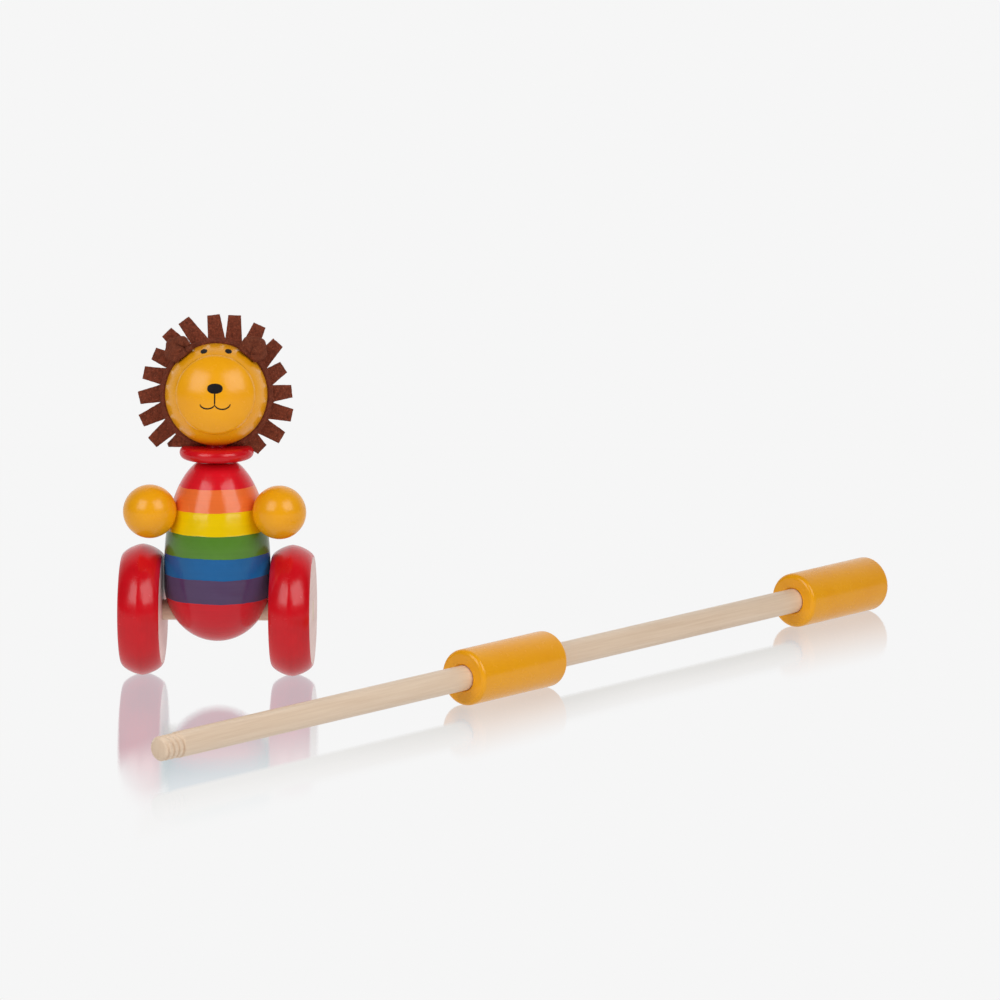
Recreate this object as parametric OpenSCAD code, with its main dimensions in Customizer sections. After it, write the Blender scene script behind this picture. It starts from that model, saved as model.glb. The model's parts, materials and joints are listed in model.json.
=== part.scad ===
// Wooden push-along lion on two wheels, with a push stick that screws into its back.
// The lion faces -Y and stands on the floor at z = 0. The stick is unscrewed and
// lies on the same floor, resting on its two grips. All lengths are in millimetres.

/* [Torso] */
// Widest diameter of the egg-shaped torso
torso_d = 52; // [48:0.5:52.5]
// Height of the torso's lowest point above the floor
torso_bottom_z = 17; // [12:1:20]
// Height above the floor at which the torso is widest
torso_wide_z = 45.5; // [44:0.5:48]
// Height of the torso's flat top
torso_top_z = 105.2; // [103:0.1:105.8]
// Height that the upper curve would reach above the widest level if it weren't cut flat
torso_crown_h = 63; // [61:0.1:66]
// Squareness of the upper curve: 2 is an ellipse, more makes the shoulders fuller
torso_shoulder = 2.6; // [2:0.1:3]

/* [Wheels and axle] */
// Diameter of each wheel
wheel_d = 64; // [60:1:68]
// Width of each wheel
wheel_w = 20; // [16:1:24]
// Diameter of the flat side face of a wheel, inside its rounded tread
wheel_face_d = 53; // [44:1:58]
// Shape of the tread: 2 is a half ellipse, and less gives it sloping shoulders
wheel_tread = 1.5; // [1.3:0.1:2.5]
// Distance from the middle of the toy to the inner face of a wheel
wheel_inner_x = 26.6; // [26.6:0.1:30]
// Diameter of the axle dowel
axle_d = 10; // [8:0.5:12]
// Radial clearance that lets the axle turn in the torso
axle_play = 0.06; // [0.02:0.01:0.1]

/* [Hands] */
// Diameter of each hand ball
hand_d = 26; // [22:0.5:27]
// Height of the hand centres
hand_z = 83; // [80:0.5:86]
// Distance from the torso's axis to a hand's centre
hand_reach = 34.4; // [34:0.1:36]
// Angle by which the hands sit forward of straight sideways
hand_forward = 24; // [10:1:35]
// Diameter of the dowel that pins a hand to the torso
hand_dowel_d = 6; // [4:0.5:8]

/* [Collar and neck] */
// Outer diameter of the collar ring
collar_d = 36; // [30:0.2:38]
// Thickness of the collar ring
collar_h = 6.2; // [4:0.1:7]
// Gap between the collar and the head ball above it
collar_gap = 0.3; // [0.1:0.1:1]
// Diameter of the dowel that joins torso, collar and head
neck_d = 10; // [8:0.5:11]

/* [Head] */
// Diameter of the head ball
head_d = 49.6; // [46:0.2:50]
// Height of the head's centre
head_z = 138.2; // [137.8:0.1:140]
// Angle by which the face looks up
head_tilt = 9; // [0:1:12]
// Angle by which the face turns to its left
head_turn = 3.4; // [-6:0.2:6]
// Diameter of the round muzzle
muzzle_d = 38.6; // [30:0.2:40]
// Radius of the muzzle's front dome
muzzle_dome_r = 28; // [28:1:45]
// Depth of the muzzle's straight rim
muzzle_rim = 0.3; // [0.1:0.1:2]
// Radius of the rounded shoulder between the rim and the dome
muzzle_edge = 4; // [2:0.5:6]
// Diameter of the dowel that pins the muzzle to the head
muzzle_dowel_d = 6; // [4:0.5:8]

/* [Mane and ears] */
// Number of felt tabs in the mane
tab_count = 17; // [11:2:17]
// Angle from one tab to the next
tab_pitch = 17.8; // [16:0.1:18]
// Diameter of the circle through the tab tips
tab_tip_d = 76; // [64:1:80]
// Width of a tab at its tip
tab_tip_w = 6.1; // [4:0.1:7]
// Width of a tab where it leaves the band
tab_root_w = 8.2; // [6:0.1:8.3]
// Outer diameter of the band that the tabs leave from
band_d = 55.4; // [54:0.2:58]
// Thickness of the felt
felt_t = 1.6; // [1:0.1:2]
// Distance of the mane behind the middle of the head
mane_back = 3.4; // [2:0.2:8]
// Outer diameter of each ear
ear_d = 12.4; // [11:0.2:13]

/* [Push stick] */
// Length of the whole stick
stick_len = 532; // [500:2:560]
// Diameter of the two dowels of the stick
stick_d = 12.1; // [11:0.1:12.6]
// Diameter of both grips
grip_d = 27.2; // [24:0.2:30]
// Length of each grip
grip_len = 63; // [50:1:70]
// Distance from the threaded tip to the middle grip
middle_grip_at = 213.5; // [180:0.5:240]
// Depth to which the rear dowel enters the end grip
end_grip_depth = 48; // [30:1:48]
// Radius of the rounded grip edges
grip_edge = 2.4; // [1:0.2:5]

/* [Screw joint] */
// Crest diameter of the wooden thread
thread_d = 11.6; // [10.6:0.1:11.6]
// Root diameter of the wooden thread
thread_root_d = 9.6; // [8:0.1:10]
// Distance from one ridge to the next
thread_pitch = 3.4; // [3:0.1:3.6]
// Number of ridges on the tip
thread_ridges = 3; // [2:1:3]
// Diameter of the socket in the torso's back
socket_d = 12; // [11.8:0.1:12.2]
// Depth of the socket below its seat
socket_depth = 14; // [13.5:0.5:16]
// Height above the floor of the socket's seat
socket_z = 66.2; // [64:0.2:70]
// Distance of the socket's seat behind the torso's axis
socket_y = 18.6; // [17:0.2:19]
// Angle of the screwed-in stick above the horizontal
socket_tilt = 50; // [40:1:60]

/* [Where the loose stick lies] */
// Sideways place of the threaded tip, from the middle of the lion
tip_x = -7; // [-20:1:5]
// Place of the threaded tip in front of the axle
tip_y = -240; // [-260:5:-200]
// Angle of the lying stick from straight back towards the lion's left hand side
stick_heading = 37.5; // [30:0.5:45]

/* [Hidden] */
$fn = 96;
glue_gap = 0.05;
// How much deeper a hole is than the dowel that is glued into it
hole_spare = 1;
// How far a cut runs past the face that it opens
eps = 0.5;

wheel_r = wheel_d / 2;
wheel_outer_x = wheel_inner_x + wheel_w;
axle_r = axle_d / 2;
neck_r = neck_d / 2;
head_r = head_d / 2;
muzzle_r = muzzle_d / 2;
stick_r = stick_d / 2;
grip_r = grip_d / 2;

// The collar is glued to the neck dowel just under the head.
collar_z = head_z - head_r - collar_gap - collar_h;
neck_in_torso = 17;
neck_in_head = 12;
neck_bottom_z = torso_top_z - neck_in_torso;
neck_top_z = head_z - head_r + neck_in_head;

// The muzzle is glued to a flat on the head ball, where the ball is as wide as the muzzle.
muzzle_flat = sqrt(head_r * head_r - muzzle_r * muzzle_r);
muzzle_dowel_in_head = 8;
muzzle_dowel_in_muzzle = 5;

mane_inner_r = sqrt(head_r * head_r - mane_back * mane_back) + 2 * glue_gap;
tab_tip_r = tab_tip_d / 2;
// The tabs start this far inside the band's edge, and the band ends this far past the last tab.
tab_overlap = 0.8;
band_end_angle = 20;
tab_root_r = band_d / 2 - tab_overlap;
mane_half_span = (tab_count - 1) / 2 * tab_pitch + band_end_angle;
// The felt is cut back this far from the collar.
felt_room = 0.3;

ear_r = ear_d / 2;
ear_hollow_r = 3.4;
ear_hollow_forward = 5.2;
// Each ear sits over the ball's edge: its angle from the top, how far out its middle is,
// how far forward, and how close its straight lower edge comes to the head's axis.
ear_angle = 39.5;
ear_out = 28.1;
ear_forward = 6.4;
ear_edge = 23.9;

// A hand ball is glued into a shallow dimple in the torso, which follows the ball.
hand_r = hand_d / 2;
hand_seat = hand_reach - hand_r;
hand_dowel_in = 9;
hand_dowel_out = 12;

thread_chamfer = 1.4;
thread_land = 1.6;
thread_flank = 0.5;
thread_runout = 0.8;
thread_len = thread_chamfer + thread_ridges * thread_pitch + thread_runout;
tip_face_r = thread_root_d / 2;
// The counterbore clears the full width of the stick all round.
stick_play = 0.45;
counterbore_r = stick_r + stick_play;
rod_joint_at = middle_grip_at + grip_len / 2;
end_grip_at = stick_len - grip_len;

// The frame's origin is on the floor, below the middle of the whole set's box.
heading_x = sin(stick_heading);
heading_y = cos(stick_heading);
end_x = tip_x + stick_len * heading_x;
end_y = tip_y + stick_len * heading_y;
box_right = end_x + (grip_r - grip_edge) * heading_y + grip_edge * (1 - heading_x);
box_back = end_y + (grip_r - grip_edge) * heading_x + grip_edge * (1 - heading_y);
box_front = tip_y - tip_face_r * heading_x;
centre_x = (box_right - wheel_outer_x) / 2;
centre_y = (box_back + box_front) / 2;

// Shapes that more than one piece uses

// Lion frame: the middle of the axle is above its origin
module lion() {
    translate([-centre_x, -centre_y, 0])
        children();
}

// Head frame: origin at the ball's centre, face towards -Y, turned and tilted up
module on_head() {
    lion()
        translate([0, 0, head_z])
            rotate([0, 0, head_turn])
                rotate([-head_tilt, 0, 0])
                    children();
}

// Stick frame: Z runs from the threaded tip to the end grip, as the stick lies
module lying_stick() {
    lion()
        translate([tip_x, tip_y, grip_r])
            rotate([0, 90, 90 - stick_heading])
                children();
}

// Hand frame: Z points outward from the torso's axis; side is -1 on the left
module hand_frame(side) {
    lion()
        translate([0, 0, hand_z])
            rotate([0, 90, side > 0 ? -hand_forward : 180 + hand_forward])
                children();
}

// A dowel with small chamfers at both ends, along Z from z = 0
module dowel(r, len, chamfer = 0.6) {
    rotate_extrude()
        polygon([
            [0, 0], [r - chamfer, 0], [r, chamfer],
            [r, len - chamfer], [r - chamfer, len], [0, len]
        ]);
}

// Radius of the torso at a height measured from its widest level
function torso_radius(dz) =
    dz < 0
    ? torso_d / 2 * sqrt(max(0, 1 - pow(dz / (torso_wide_z - torso_bottom_z), 2)))
    : torso_d / 2 * sqrt(1 - pow(dz / torso_crown_h, torso_shoulder));

// Half outline of the torso, from its lowest point up to its flat top
function torso_outline() =
    let (
        lower = torso_wide_z - torso_bottom_z,
        upper = torso_top_z - torso_wide_z,
        low_steps = 16,
        high_steps = 24
    )
    concat(
        [for (i = [0 : low_steps - 1])
            let (dz = -lower * cos(90 * i / low_steps))
            [torso_radius(dz), torso_wide_z + dz]],
        [for (i = [0 : high_steps])
            let (dz = upper * sin(90 * i / high_steps))
            [torso_radius(dz), torso_wide_z + dz]],
        [[0, torso_top_z]]
    );

// Pieces of the lion

// Egg-shaped body with every hole that something is fitted into
module torso() {
    color("crimson")
        difference() {
            lion()
                rotate_extrude()
                    polygon(torso_outline());
            lion()
                translate([-torso_d, 0, wheel_r])
                    rotate([0, 90, 0])
                        cylinder(r = axle_r + axle_play, h = 2 * torso_d);
            lion()
                translate([0, 0, neck_bottom_z - hole_spare])
                    cylinder(r = neck_r + glue_gap, h = torso_top_z);
            for (side = [-1, 1])
                hand_frame(side) {
                    translate([0, 0, hand_reach])
                        sphere(r = hand_r + glue_gap);
                    translate([0, 0, hand_seat - hand_dowel_in - hole_spare])
                        cylinder(r = hand_dowel_d / 2 + glue_gap, h = hand_d);
                }
            lion()
                translate([0, socket_y, socket_z])
                    rotate([socket_tilt - 90, 0, 0]) {
                        cylinder(r = counterbore_r, h = torso_d);
                        translate([0, 0, -socket_depth])
                            cylinder(r = socket_d / 2, h = torso_d);
                    }
        }
}

// Dowel that joins torso, collar and head
module neck_dowel() {
    color("red")
        lion()
            translate([0, 0, neck_bottom_z])
                dowel(neck_r, neck_top_z - neck_bottom_z);
}

// Ring with a fully rounded rim, threaded on the neck dowel
module collar() {
    rim = collar_h / 2;
    color("red")
        lion()
            translate([0, 0, collar_z])
                rotate_extrude()
                    difference() {
                        union() {
                            translate([collar_d / 2 - rim, rim])
                                circle(r = rim);
                            square([collar_d / 2 - rim, collar_h]);
                        }
                        translate([-eps, -eps])
                            square([neck_r + glue_gap + eps, collar_h + 2 * eps]);
                    }
}

// Head ball with a flat for the muzzle and holes for its two dowels
module head() {
    color("orange")
        difference() {
            on_head()
                sphere(r = head_r);
            on_head()
                translate([-head_r, -muzzle_flat - head_r, -head_r])
                    cube([2 * head_r, head_r, 2 * head_r]);
            on_head()
                translate([0, -muzzle_flat + muzzle_dowel_in_head + hole_spare, 0])
                    rotate([90, 0, 0])
                        cylinder(r = muzzle_dowel_d / 2 + glue_gap, h = head_r);
            lion()
                translate([0, 0, head_z - head_d])
                    cylinder(r = neck_r + glue_gap, h = neck_top_z + hole_spare - head_z + head_d);
        }
}

// Half outline of the muzzle: flat back at 0, rim, round shoulder and the dome that meets it
function muzzle_outline() =
    let (
        start = asin((muzzle_r - muzzle_edge) / (muzzle_dome_r - muzzle_edge)),
        centre = muzzle_rim - (muzzle_dome_r - muzzle_edge) * cos(start),
        shoulder_steps = 8,
        steps = 16
    )
    concat(
        [[0, 0], [muzzle_r, 0]],
        [for (i = [0 : shoulder_steps])
            let (a = (90 - start) * i / shoulder_steps)
            [muzzle_r - muzzle_edge + muzzle_edge * cos(a), muzzle_rim + muzzle_edge * sin(a)]],
        [for (i = [1 : steps])
            let (a = start * (1 - i / steps))
            [muzzle_dome_r * sin(a), centre + muzzle_dome_r * cos(a)]]
    );

// Round domed muzzle, glued and pinned to the flat of the head
module muzzle() {
    color("gold")
        on_head()
            translate([0, -muzzle_flat - glue_gap, 0])
                rotate([90, 0, 0])
                    difference() {
                        rotate_extrude()
                            polygon(muzzle_outline());
                        translate([0, 0, -eps])
                            cylinder(
                                r = muzzle_dowel_d / 2 + glue_gap,
                                h = muzzle_dowel_in_muzzle + hole_spare + eps
                            );
                    }
}

// Dowel that pins the muzzle to the head
module muzzle_dowel() {
    color("burlywood")
        on_head()
            translate([0, -muzzle_flat + muzzle_dowel_in_head, 0])
                rotate([90, 0, 0])
                    dowel(muzzle_dowel_d / 2, muzzle_dowel_in_head + muzzle_dowel_in_muzzle, 0.5);
}

// Flat cut of the mane: a band that is open at the neck, with a fringe of tabs
module mane_outline() {
    gap = 180 - mane_half_span;
    difference() {
        circle(d = band_d);
        circle(r = mane_inner_r);
        polygon([
            [0, 0],
            [-head_d * sin(gap), -head_d * cos(gap)],
            [head_d * sin(gap), -head_d * cos(gap)]
        ]);
    }
    for (i = [0 : tab_count - 1])
        rotate((i - (tab_count - 1) / 2) * tab_pitch)
            polygon([
                [-tab_root_w / 2, tab_root_r], [tab_root_w / 2, tab_root_r],
                [tab_tip_w / 2, tab_tip_r], [-tab_tip_w / 2, tab_tip_r]
            ]);
}

// Fringed felt band around the head, cut back where it passes the collar
module mane() {
    color("saddlebrown")
        difference() {
            on_head()
                translate([0, mane_back + felt_t, 0])
                    rotate([90, 0, 0])
                        linear_extrude(felt_t)
                            mane_outline();
            lion()
                translate([0, 0, collar_z - felt_room])
                    cylinder(r = collar_d / 2 + felt_room, h = collar_h + 2 * felt_room);
        }
}

// Felt ear with a hollow in front, glued over the ball's edge; the right one mirrors the left
module ear(side) {
    color("sienna")
        on_head()
            rotate([0, side * ear_angle, 0])
                difference() {
                    translate([0, -ear_forward, ear_out])
                        sphere(r = ear_r);
                    translate([0, -ear_forward - ear_hollow_forward, ear_out])
                        sphere(r = ear_hollow_r);
                    sphere(r = head_r + glue_gap);
                    translate([-ear_d, -ear_forward - ear_d, 0])
                        cube([2 * ear_d, 2 * ear_d, ear_edge]);
                }
}

// Hand ball with a hole for its dowel
module hand(side) {
    color("orange")
        hand_frame(side)
            difference() {
                translate([0, 0, hand_reach])
                    sphere(r = hand_r);
                translate([0, 0, hand_seat - eps])
                    cylinder(r = hand_dowel_d / 2 + glue_gap, h = hand_dowel_out + hole_spare + eps);
            }
}

// Dowel that pins a hand to the torso
module hand_dowel(side) {
    color("burlywood")
        hand_frame(side)
            translate([0, 0, hand_seat - hand_dowel_in])
                dowel(hand_dowel_d / 2, hand_dowel_in + hand_dowel_out, 0.5);
}

// Dowel that carries both wheels and turns in the torso
module axle() {
    color("burlywood")
        lion()
            translate([-wheel_outer_x, 0, wheel_r])
                rotate([0, 90, 0])
                    dowel(axle_r, 2 * wheel_outer_x, 0.4);
}

// Half outline of a wheel, centred on its width
function wheel_outline() =
    let (half = wheel_w / 2, face_r = wheel_face_d / 2, steps = 24)
    concat(
        [[axle_r + glue_gap, half], [axle_r + glue_gap, -half]],
        [for (i = [0 : steps])
            let (a = -90 + 180 * i / steps, power = 2 / wheel_tread)
            [face_r + (wheel_r - face_r) * pow(max(0, cos(a)), power),
                half * sign(sin(a)) * pow(abs(sin(a)), power)]]
    );

// Wheel with flat faces and a rounded tread, glued on the axle; side is -1 on the left
module wheel(side) {
    color("red")
        lion()
            translate([side * (wheel_inner_x + wheel_w / 2), 0, wheel_r])
                rotate([0, 90, 0])
                    rotate_extrude()
                        polygon(wheel_outline());
}

// Pieces of the push stick

// Front dowel, with ridges of a coarse wooden thread on its tip
module front_rod() {
    color("burlywood")
        lying_stick()
            rotate_extrude()
                polygon(concat(
                    [[0, 0], [tip_face_r, 0]],
                    [for (i = [0 : thread_ridges - 1])
                        let (z = thread_chamfer + i * thread_pitch)
                        each [
                            [thread_d / 2, z],
                            [thread_d / 2, z + thread_land],
                            [thread_root_d / 2, z + thread_land + thread_flank],
                            [thread_root_d / 2, z + thread_pitch - thread_flank]
                        ]],
                    [
                        [thread_root_d / 2, thread_len], [stick_r, thread_len],
                        [stick_r, rod_joint_at - glue_gap], [0, rod_joint_at - glue_gap]
                    ]
                ));
}

// Rear dowel, from the middle grip into the end grip
module rear_rod() {
    color("burlywood")
        lying_stick()
            translate([0, 0, rod_joint_at + glue_gap])
                cylinder(r = stick_r, h = end_grip_at + end_grip_depth - rod_joint_at - 2 * glue_gap);
}

// Half outline of a grip with rounded edges
module grip_outline() {
    difference() {
        union() {
            translate([0, grip_edge])
                square([grip_r, grip_len - 2 * grip_edge]);
            square([grip_r - grip_edge, grip_len]);
            for (z = [grip_edge, grip_len - grip_edge])
                translate([grip_r - grip_edge, z])
                    circle(r = grip_edge);
        }
        translate([-grip_d, -eps])
            square([grip_d, grip_len + 2 * eps]);
    }
}

// Turned sleeve that joins the two dowels
module middle_grip() {
    color("orange")
        lying_stick()
            translate([0, 0, middle_grip_at])
                difference() {
                    rotate_extrude()
                        grip_outline();
                    translate([0, 0, -eps])
                        cylinder(r = stick_r + glue_gap, h = grip_len + 2 * eps);
                }
}

// Turned handle on the end of the rear dowel, closed at its far end
module end_grip() {
    color("orange")
        lying_stick()
            translate([0, 0, end_grip_at])
                difference() {
                    rotate_extrude()
                        grip_outline();
                    translate([0, 0, -eps])
                        cylinder(r = stick_r + glue_gap, h = end_grip_depth + eps);
                }
}

torso();
neck_dowel();
collar();
head();
muzzle();
muzzle_dowel();
mane();
ear(-1);  // ear_left
ear(1);  // ear_right
hand(-1);  // hand_left
hand(1);  // hand_right
hand_dowel(-1);  // hand_dowel_left
hand_dowel(1);  // hand_dowel_right
axle();
wheel(-1);  // wheel_left
wheel(1);  // wheel_right
front_rod();
rear_rod();
middle_grip();
end_grip();
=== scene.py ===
"""A wooden push-along lion on two wheels, and the push stick that screws into its back.

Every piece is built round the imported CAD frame. The sizes below are in metres, and the
places come from the frame's own boxes, joints and mounts. The lion faces -Y.
"""

import json
import math

import bmesh
import bpy
from mathutils import Matrix, Vector, noise


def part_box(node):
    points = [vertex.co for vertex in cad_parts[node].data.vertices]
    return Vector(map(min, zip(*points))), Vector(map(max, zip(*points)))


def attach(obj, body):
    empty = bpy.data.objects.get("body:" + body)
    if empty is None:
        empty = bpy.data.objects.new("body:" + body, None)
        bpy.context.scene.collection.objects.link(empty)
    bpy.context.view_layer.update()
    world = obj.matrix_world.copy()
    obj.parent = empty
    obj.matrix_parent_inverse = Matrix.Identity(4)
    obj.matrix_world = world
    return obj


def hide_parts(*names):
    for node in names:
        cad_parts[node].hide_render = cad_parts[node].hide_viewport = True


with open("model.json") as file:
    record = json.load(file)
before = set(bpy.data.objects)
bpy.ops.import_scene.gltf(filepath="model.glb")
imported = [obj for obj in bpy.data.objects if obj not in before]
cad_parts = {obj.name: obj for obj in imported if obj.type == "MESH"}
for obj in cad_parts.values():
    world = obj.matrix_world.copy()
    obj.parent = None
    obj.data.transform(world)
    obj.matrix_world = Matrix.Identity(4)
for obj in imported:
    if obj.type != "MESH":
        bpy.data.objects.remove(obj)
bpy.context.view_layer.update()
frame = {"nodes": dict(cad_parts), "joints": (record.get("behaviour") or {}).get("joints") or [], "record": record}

# ---------------------------------------- sizes and places

MM = 0.001
record = frame["record"]
joint_of = {joint["name"]: joint for joint in frame["joints"]}
mount_of = {mount["name"]: mount for mount in record["mounts"]}


def middle(node):
    """The middle of a CAD node's box."""
    low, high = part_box(node)
    return (low + high) / 2


def extent(node):
    """The sides of a CAD node's box."""
    low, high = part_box(node)
    return high - low


axle_at = Vector(joint_of["axle_turn"]["pos_m"])
lion_axis = Vector((middle("torso").x, middle("torso").y, 0))
torso_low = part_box("torso")[0].z
torso_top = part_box("torso")[1].z
torso_r = extent("torso").x / 2
torso_wide = 45.5 * MM
# The upper half is part of a taller curve, whose power gives it full shoulders.
torso_crown = 63 * MM
torso_shoulder = 2.6

wheel_r = extent("wheel_left").z / 2
wheel_half = extent("wheel_left").x / 2
wheel_face_r = 26.5 * MM
# The power of the tread's curve; 2 would be an ellipse.
wheel_tread = 1.5
axle_r = 5 * MM

hand_r = 13 * MM
collar_r = extent("collar").x / 2
collar_half = extent("collar").z / 2
neck_r = extent("neck_dowel").x / 2

head_r = extent("head").x / 2
head_at = Vector((lion_axis.x, lion_axis.y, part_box("head")[1].z - head_r))
head_tilt = math.radians(9)
head_turn = math.radians(3.4)
muzzle_r = 19.3 * MM
muzzle_flat = math.sqrt(head_r**2 - muzzle_r**2)
muzzle_dome_r = 28 * MM
muzzle_shoulder_r = 4 * MM

stick_along = -Vector(mount_of["stick_thread"]["axis"])
grip_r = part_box("middle_grip")[1].z / 2
grip_len = 63 * MM
stick_r = 6.05 * MM
thread_crest_r = 5.8 * MM
thread_root_r = 4.8 * MM
thread_pitch = 3.4 * MM
thread_len = 12.4 * MM
# The thread's mount is in the middle of its ridges, and its bevelled end comes before them.
thread_bevel = 1.4 * MM
thread_mount_len = 8.4 * MM
thread_at = Vector(mount_of["stick_thread"]["pos_m"])
tip_at = thread_at - stick_along * (thread_bevel + thread_mount_len / 2)
middle_grip_at = (middle("middle_grip") - tip_at).dot(stick_along) - grip_len / 2
end_grip_at = (middle("end_grip") - tip_at).dot(stick_along) - grip_len / 2
rod_meet_at = middle_grip_at + grip_len / 2
end_grip_depth = 48 * MM

felt_t = 1.5 * MM
tab_pitch = math.radians(17.8)

# ---------------------------------------- local frames


def aimed(at, along):
    """A frame at a place, with its Z along a direction."""
    return Matrix.Translation(at) @ along.to_track_quat("Z", "Y").to_matrix().to_4x4()


lion_frame = Matrix.Translation(lion_axis)
head_frame = (
    Matrix.Translation(head_at)
    @ Matrix.Rotation(head_turn, 4, "Z")
    @ Matrix.Rotation(-head_tilt, 4, "X")
)
# Z of these frames runs along the turned piece's own axis.
face_frame = head_frame @ Matrix.Rotation(math.radians(90), 4, "X")
axle_frame = Matrix.Translation(axle_at) @ Matrix.Rotation(math.radians(90), 4, "Y")
stick_frame = aimed(tip_at, stick_along)

# ---------------------------------------- materials


def linear(red, green, blue):
    """A colour given as display values from 0 to 255, as the shader wants it."""
    return tuple(
        (c / 255 / 12.92) if c <= 10 else ((c / 255 + 0.055) / 1.055) ** 2.4
        for c in (red, green, blue)
    ) + (1,)


def add(tree, kind, inputs=None, **settings):
    """A new shader node; an input is a plain value, or a socket to link from."""
    made = tree.nodes.new("ShaderNode" + kind)
    for name, value in settings.items():
        setattr(made, name, value)
    for name, value in (inputs or {}).items():
        if isinstance(value, bpy.types.NodeSocket):
            tree.links.new(value, made.inputs[name])
        else:
            made.inputs[name].default_value = value
    return made


def new_material(name, **shader_values):
    """A material with one Principled shader, and its tree and shader."""
    material = bpy.data.materials.new(name)
    material.use_nodes = True
    tree = material.node_tree
    shader = tree.nodes["Principled BSDF"]
    for key, value in shader_values.items():
        shader.inputs[key.replace("_", " ")].default_value = value
    return material, tree, shader


def place(tree, scale=(1, 1, 1)):
    """The point on the piece, in its own frame, stretched by scale."""
    coordinates = add(tree, "TexCoord")
    stretched = add(tree, "Mapping", {"Vector": coordinates.outputs["Object"], "Scale": scale})
    return stretched.outputs["Vector"]


def grain(tree, scale, detail=4.0, rough=0.55):
    """Noise from 0 to 1; scale is how fast it changes per metre, alike all ways or by axis."""
    scales = scale if isinstance(scale, tuple) else (scale, scale, scale)
    inputs = {"Vector": place(tree, scales), "Scale": 1.0, "Detail": detail, "Roughness": rough}
    return add(tree, "TexNoise", inputs).outputs["Fac"]


# Most of the noise lies between these values.
most_noise = (0.3, 0.7)


def reckon(tree, operation, first, second=0.5, third=0.5):
    """One step of arithmetic on shader values."""
    made = add(tree, "Math", {0: first, 1: second, 2: third}, operation=operation)
    return made.outputs["Value"]


def spread(tree, value, low, high, to_low=0.0, to_high=1.0):
    """value carried from low..high to to_low..to_high, and held at the ends."""
    inputs = {"Value": value, "From Min": low, "From Max": high, "To Min": to_low, "To Max": to_high}
    return add(tree, "MapRange", inputs).outputs["Result"]


def mix(tree, share, first, second, blend="MIX"):
    """Two colours mixed by share."""
    # The node has inputs for every kind of data; these are the share and the two colours.
    inputs = {0: share, 6: first, 7: second}
    return add(tree, "Mix", inputs, data_type="RGBA", blend_type=blend).outputs[2]


def bump(tree, shader, layers):
    """Chains bump layers into the shader's normal; a layer is (height, depth in metres)."""
    normal = None
    for height, depth in layers:
        inputs = {"Height": height, "Strength": 1.0, "Distance": depth}
        if normal is not None:
            inputs["Normal"] = normal
        normal = add(tree, "Bump", inputs).outputs["Normal"]
    tree.links.new(normal, shader.inputs["Normal"])


def gloss(tree, shader, low, high):
    """Lets the roughness wander between two values over a few millimetres."""
    wander = spread(tree, grain(tree, 260), *most_noise, low, high)
    tree.links.new(wander, shader.inputs["Roughness"])


def enamel(name, colour, deep, rough):
    """Brushed gloss enamel over turned wood: thin places let a deeper tone through."""
    material, tree, shader = new_material(name, IOR=1.42)
    patches = grain(tree, 55, detail=3)
    rings = grain(tree, (30, 30, 700), detail=2)
    share = spread(tree, reckon(tree, "MULTIPLY_ADD", rings, 0.25, patches), 0.5, 0.85)
    tree.links.new(mix(tree, share, colour, deep), shader.inputs["Base Color"])
    gloss(tree, shader, *rough)
    swell = grain(tree, 90, detail=2)
    brushing = grain(tree, (700, 700, 90), detail=3)
    bump(tree, shader, [(swell, 0.05 * MM), (brushing, 0.006 * MM)])
    return material


def torso_enamel(bands):
    """Seven enamel bands by height, each with a slightly wavering, slightly raised edge."""
    material, tree, shader = new_material("torso_enamel", IOR=1.45)
    height = add(tree, "SeparateXYZ", {"Vector": place(tree)}).outputs["Z"]
    waver = reckon(tree, "MULTIPLY_ADD", grain(tree, (45, 45, 20), detail=2), 1.6 * MM, -0.8 * MM)
    fine = grain(tree, 500, detail=2)
    ragged = reckon(tree, "MULTIPLY_ADD", fine, 0.3 * MM, -0.15 * MM)
    level = reckon(tree, "ADD", height, reckon(tree, "ADD", waver, ragged))
    share = spread(tree, level, torso_low, torso_top)
    ramp = add(tree, "ValToRGB", {"Fac": share})
    edges = add(tree, "ValToRGB", {"Fac": share})
    fill_ramps(ramp.color_ramp, edges.color_ramp, bands)
    strokes = grain(tree, (25, 25, 1500), detail=3)
    patches = grain(tree, (60, 60, 90), detail=3)
    brushed = reckon(tree, "MULTIPLY_ADD", strokes, 0.6, patches)
    wear = spread(tree, brushed, 0.55, 1.0, 1.0, 0.9)
    toned = mix(tree, 1.0, ramp.outputs["Color"], wear, "MULTIPLY")
    tree.links.new(toned, shader.inputs["Base Color"])
    gloss(tree, shader, 0.14, 0.24)
    swell = grain(tree, (160, 160, 50), detail=2)
    ridge = edges.outputs["Color"]
    bump(tree, shader, [(ridge, 0.05 * MM), (swell, 0.09 * MM), (strokes, 0.01 * MM)])
    return material


def fill_ramps(colours, edges, bands):
    """Sets the band colours, and a thin peak at each border between two bands."""
    tall = torso_top - torso_low
    peak_half = 0.35 * MM / tall
    colours.interpolation = "CONSTANT"
    edges.interpolation = "LINEAR"
    for ramp in (colours, edges):
        while len(ramp.elements) > 1:
            ramp.elements.remove(ramp.elements[-1])
    colours.elements[0].position = 0
    colours.elements[0].color = bands[0][1]
    edges.elements[0].position = 0
    edges.elements[0].color = (0, 0, 0, 1)
    for start, colour in bands[1:]:
        at = (start - torso_low) / tall
        colours.elements.new(at).color = colour
        for shift, value in ((-peak_half, 0), (0, 1), (peak_half, 0)):
            edges.elements.new(at + shift).color = (value, value, value, 1)


def lengthwise(scale):
    """A scale for grain that is drawn out along Z."""
    return (scale, scale, 0.03 * scale)


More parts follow.
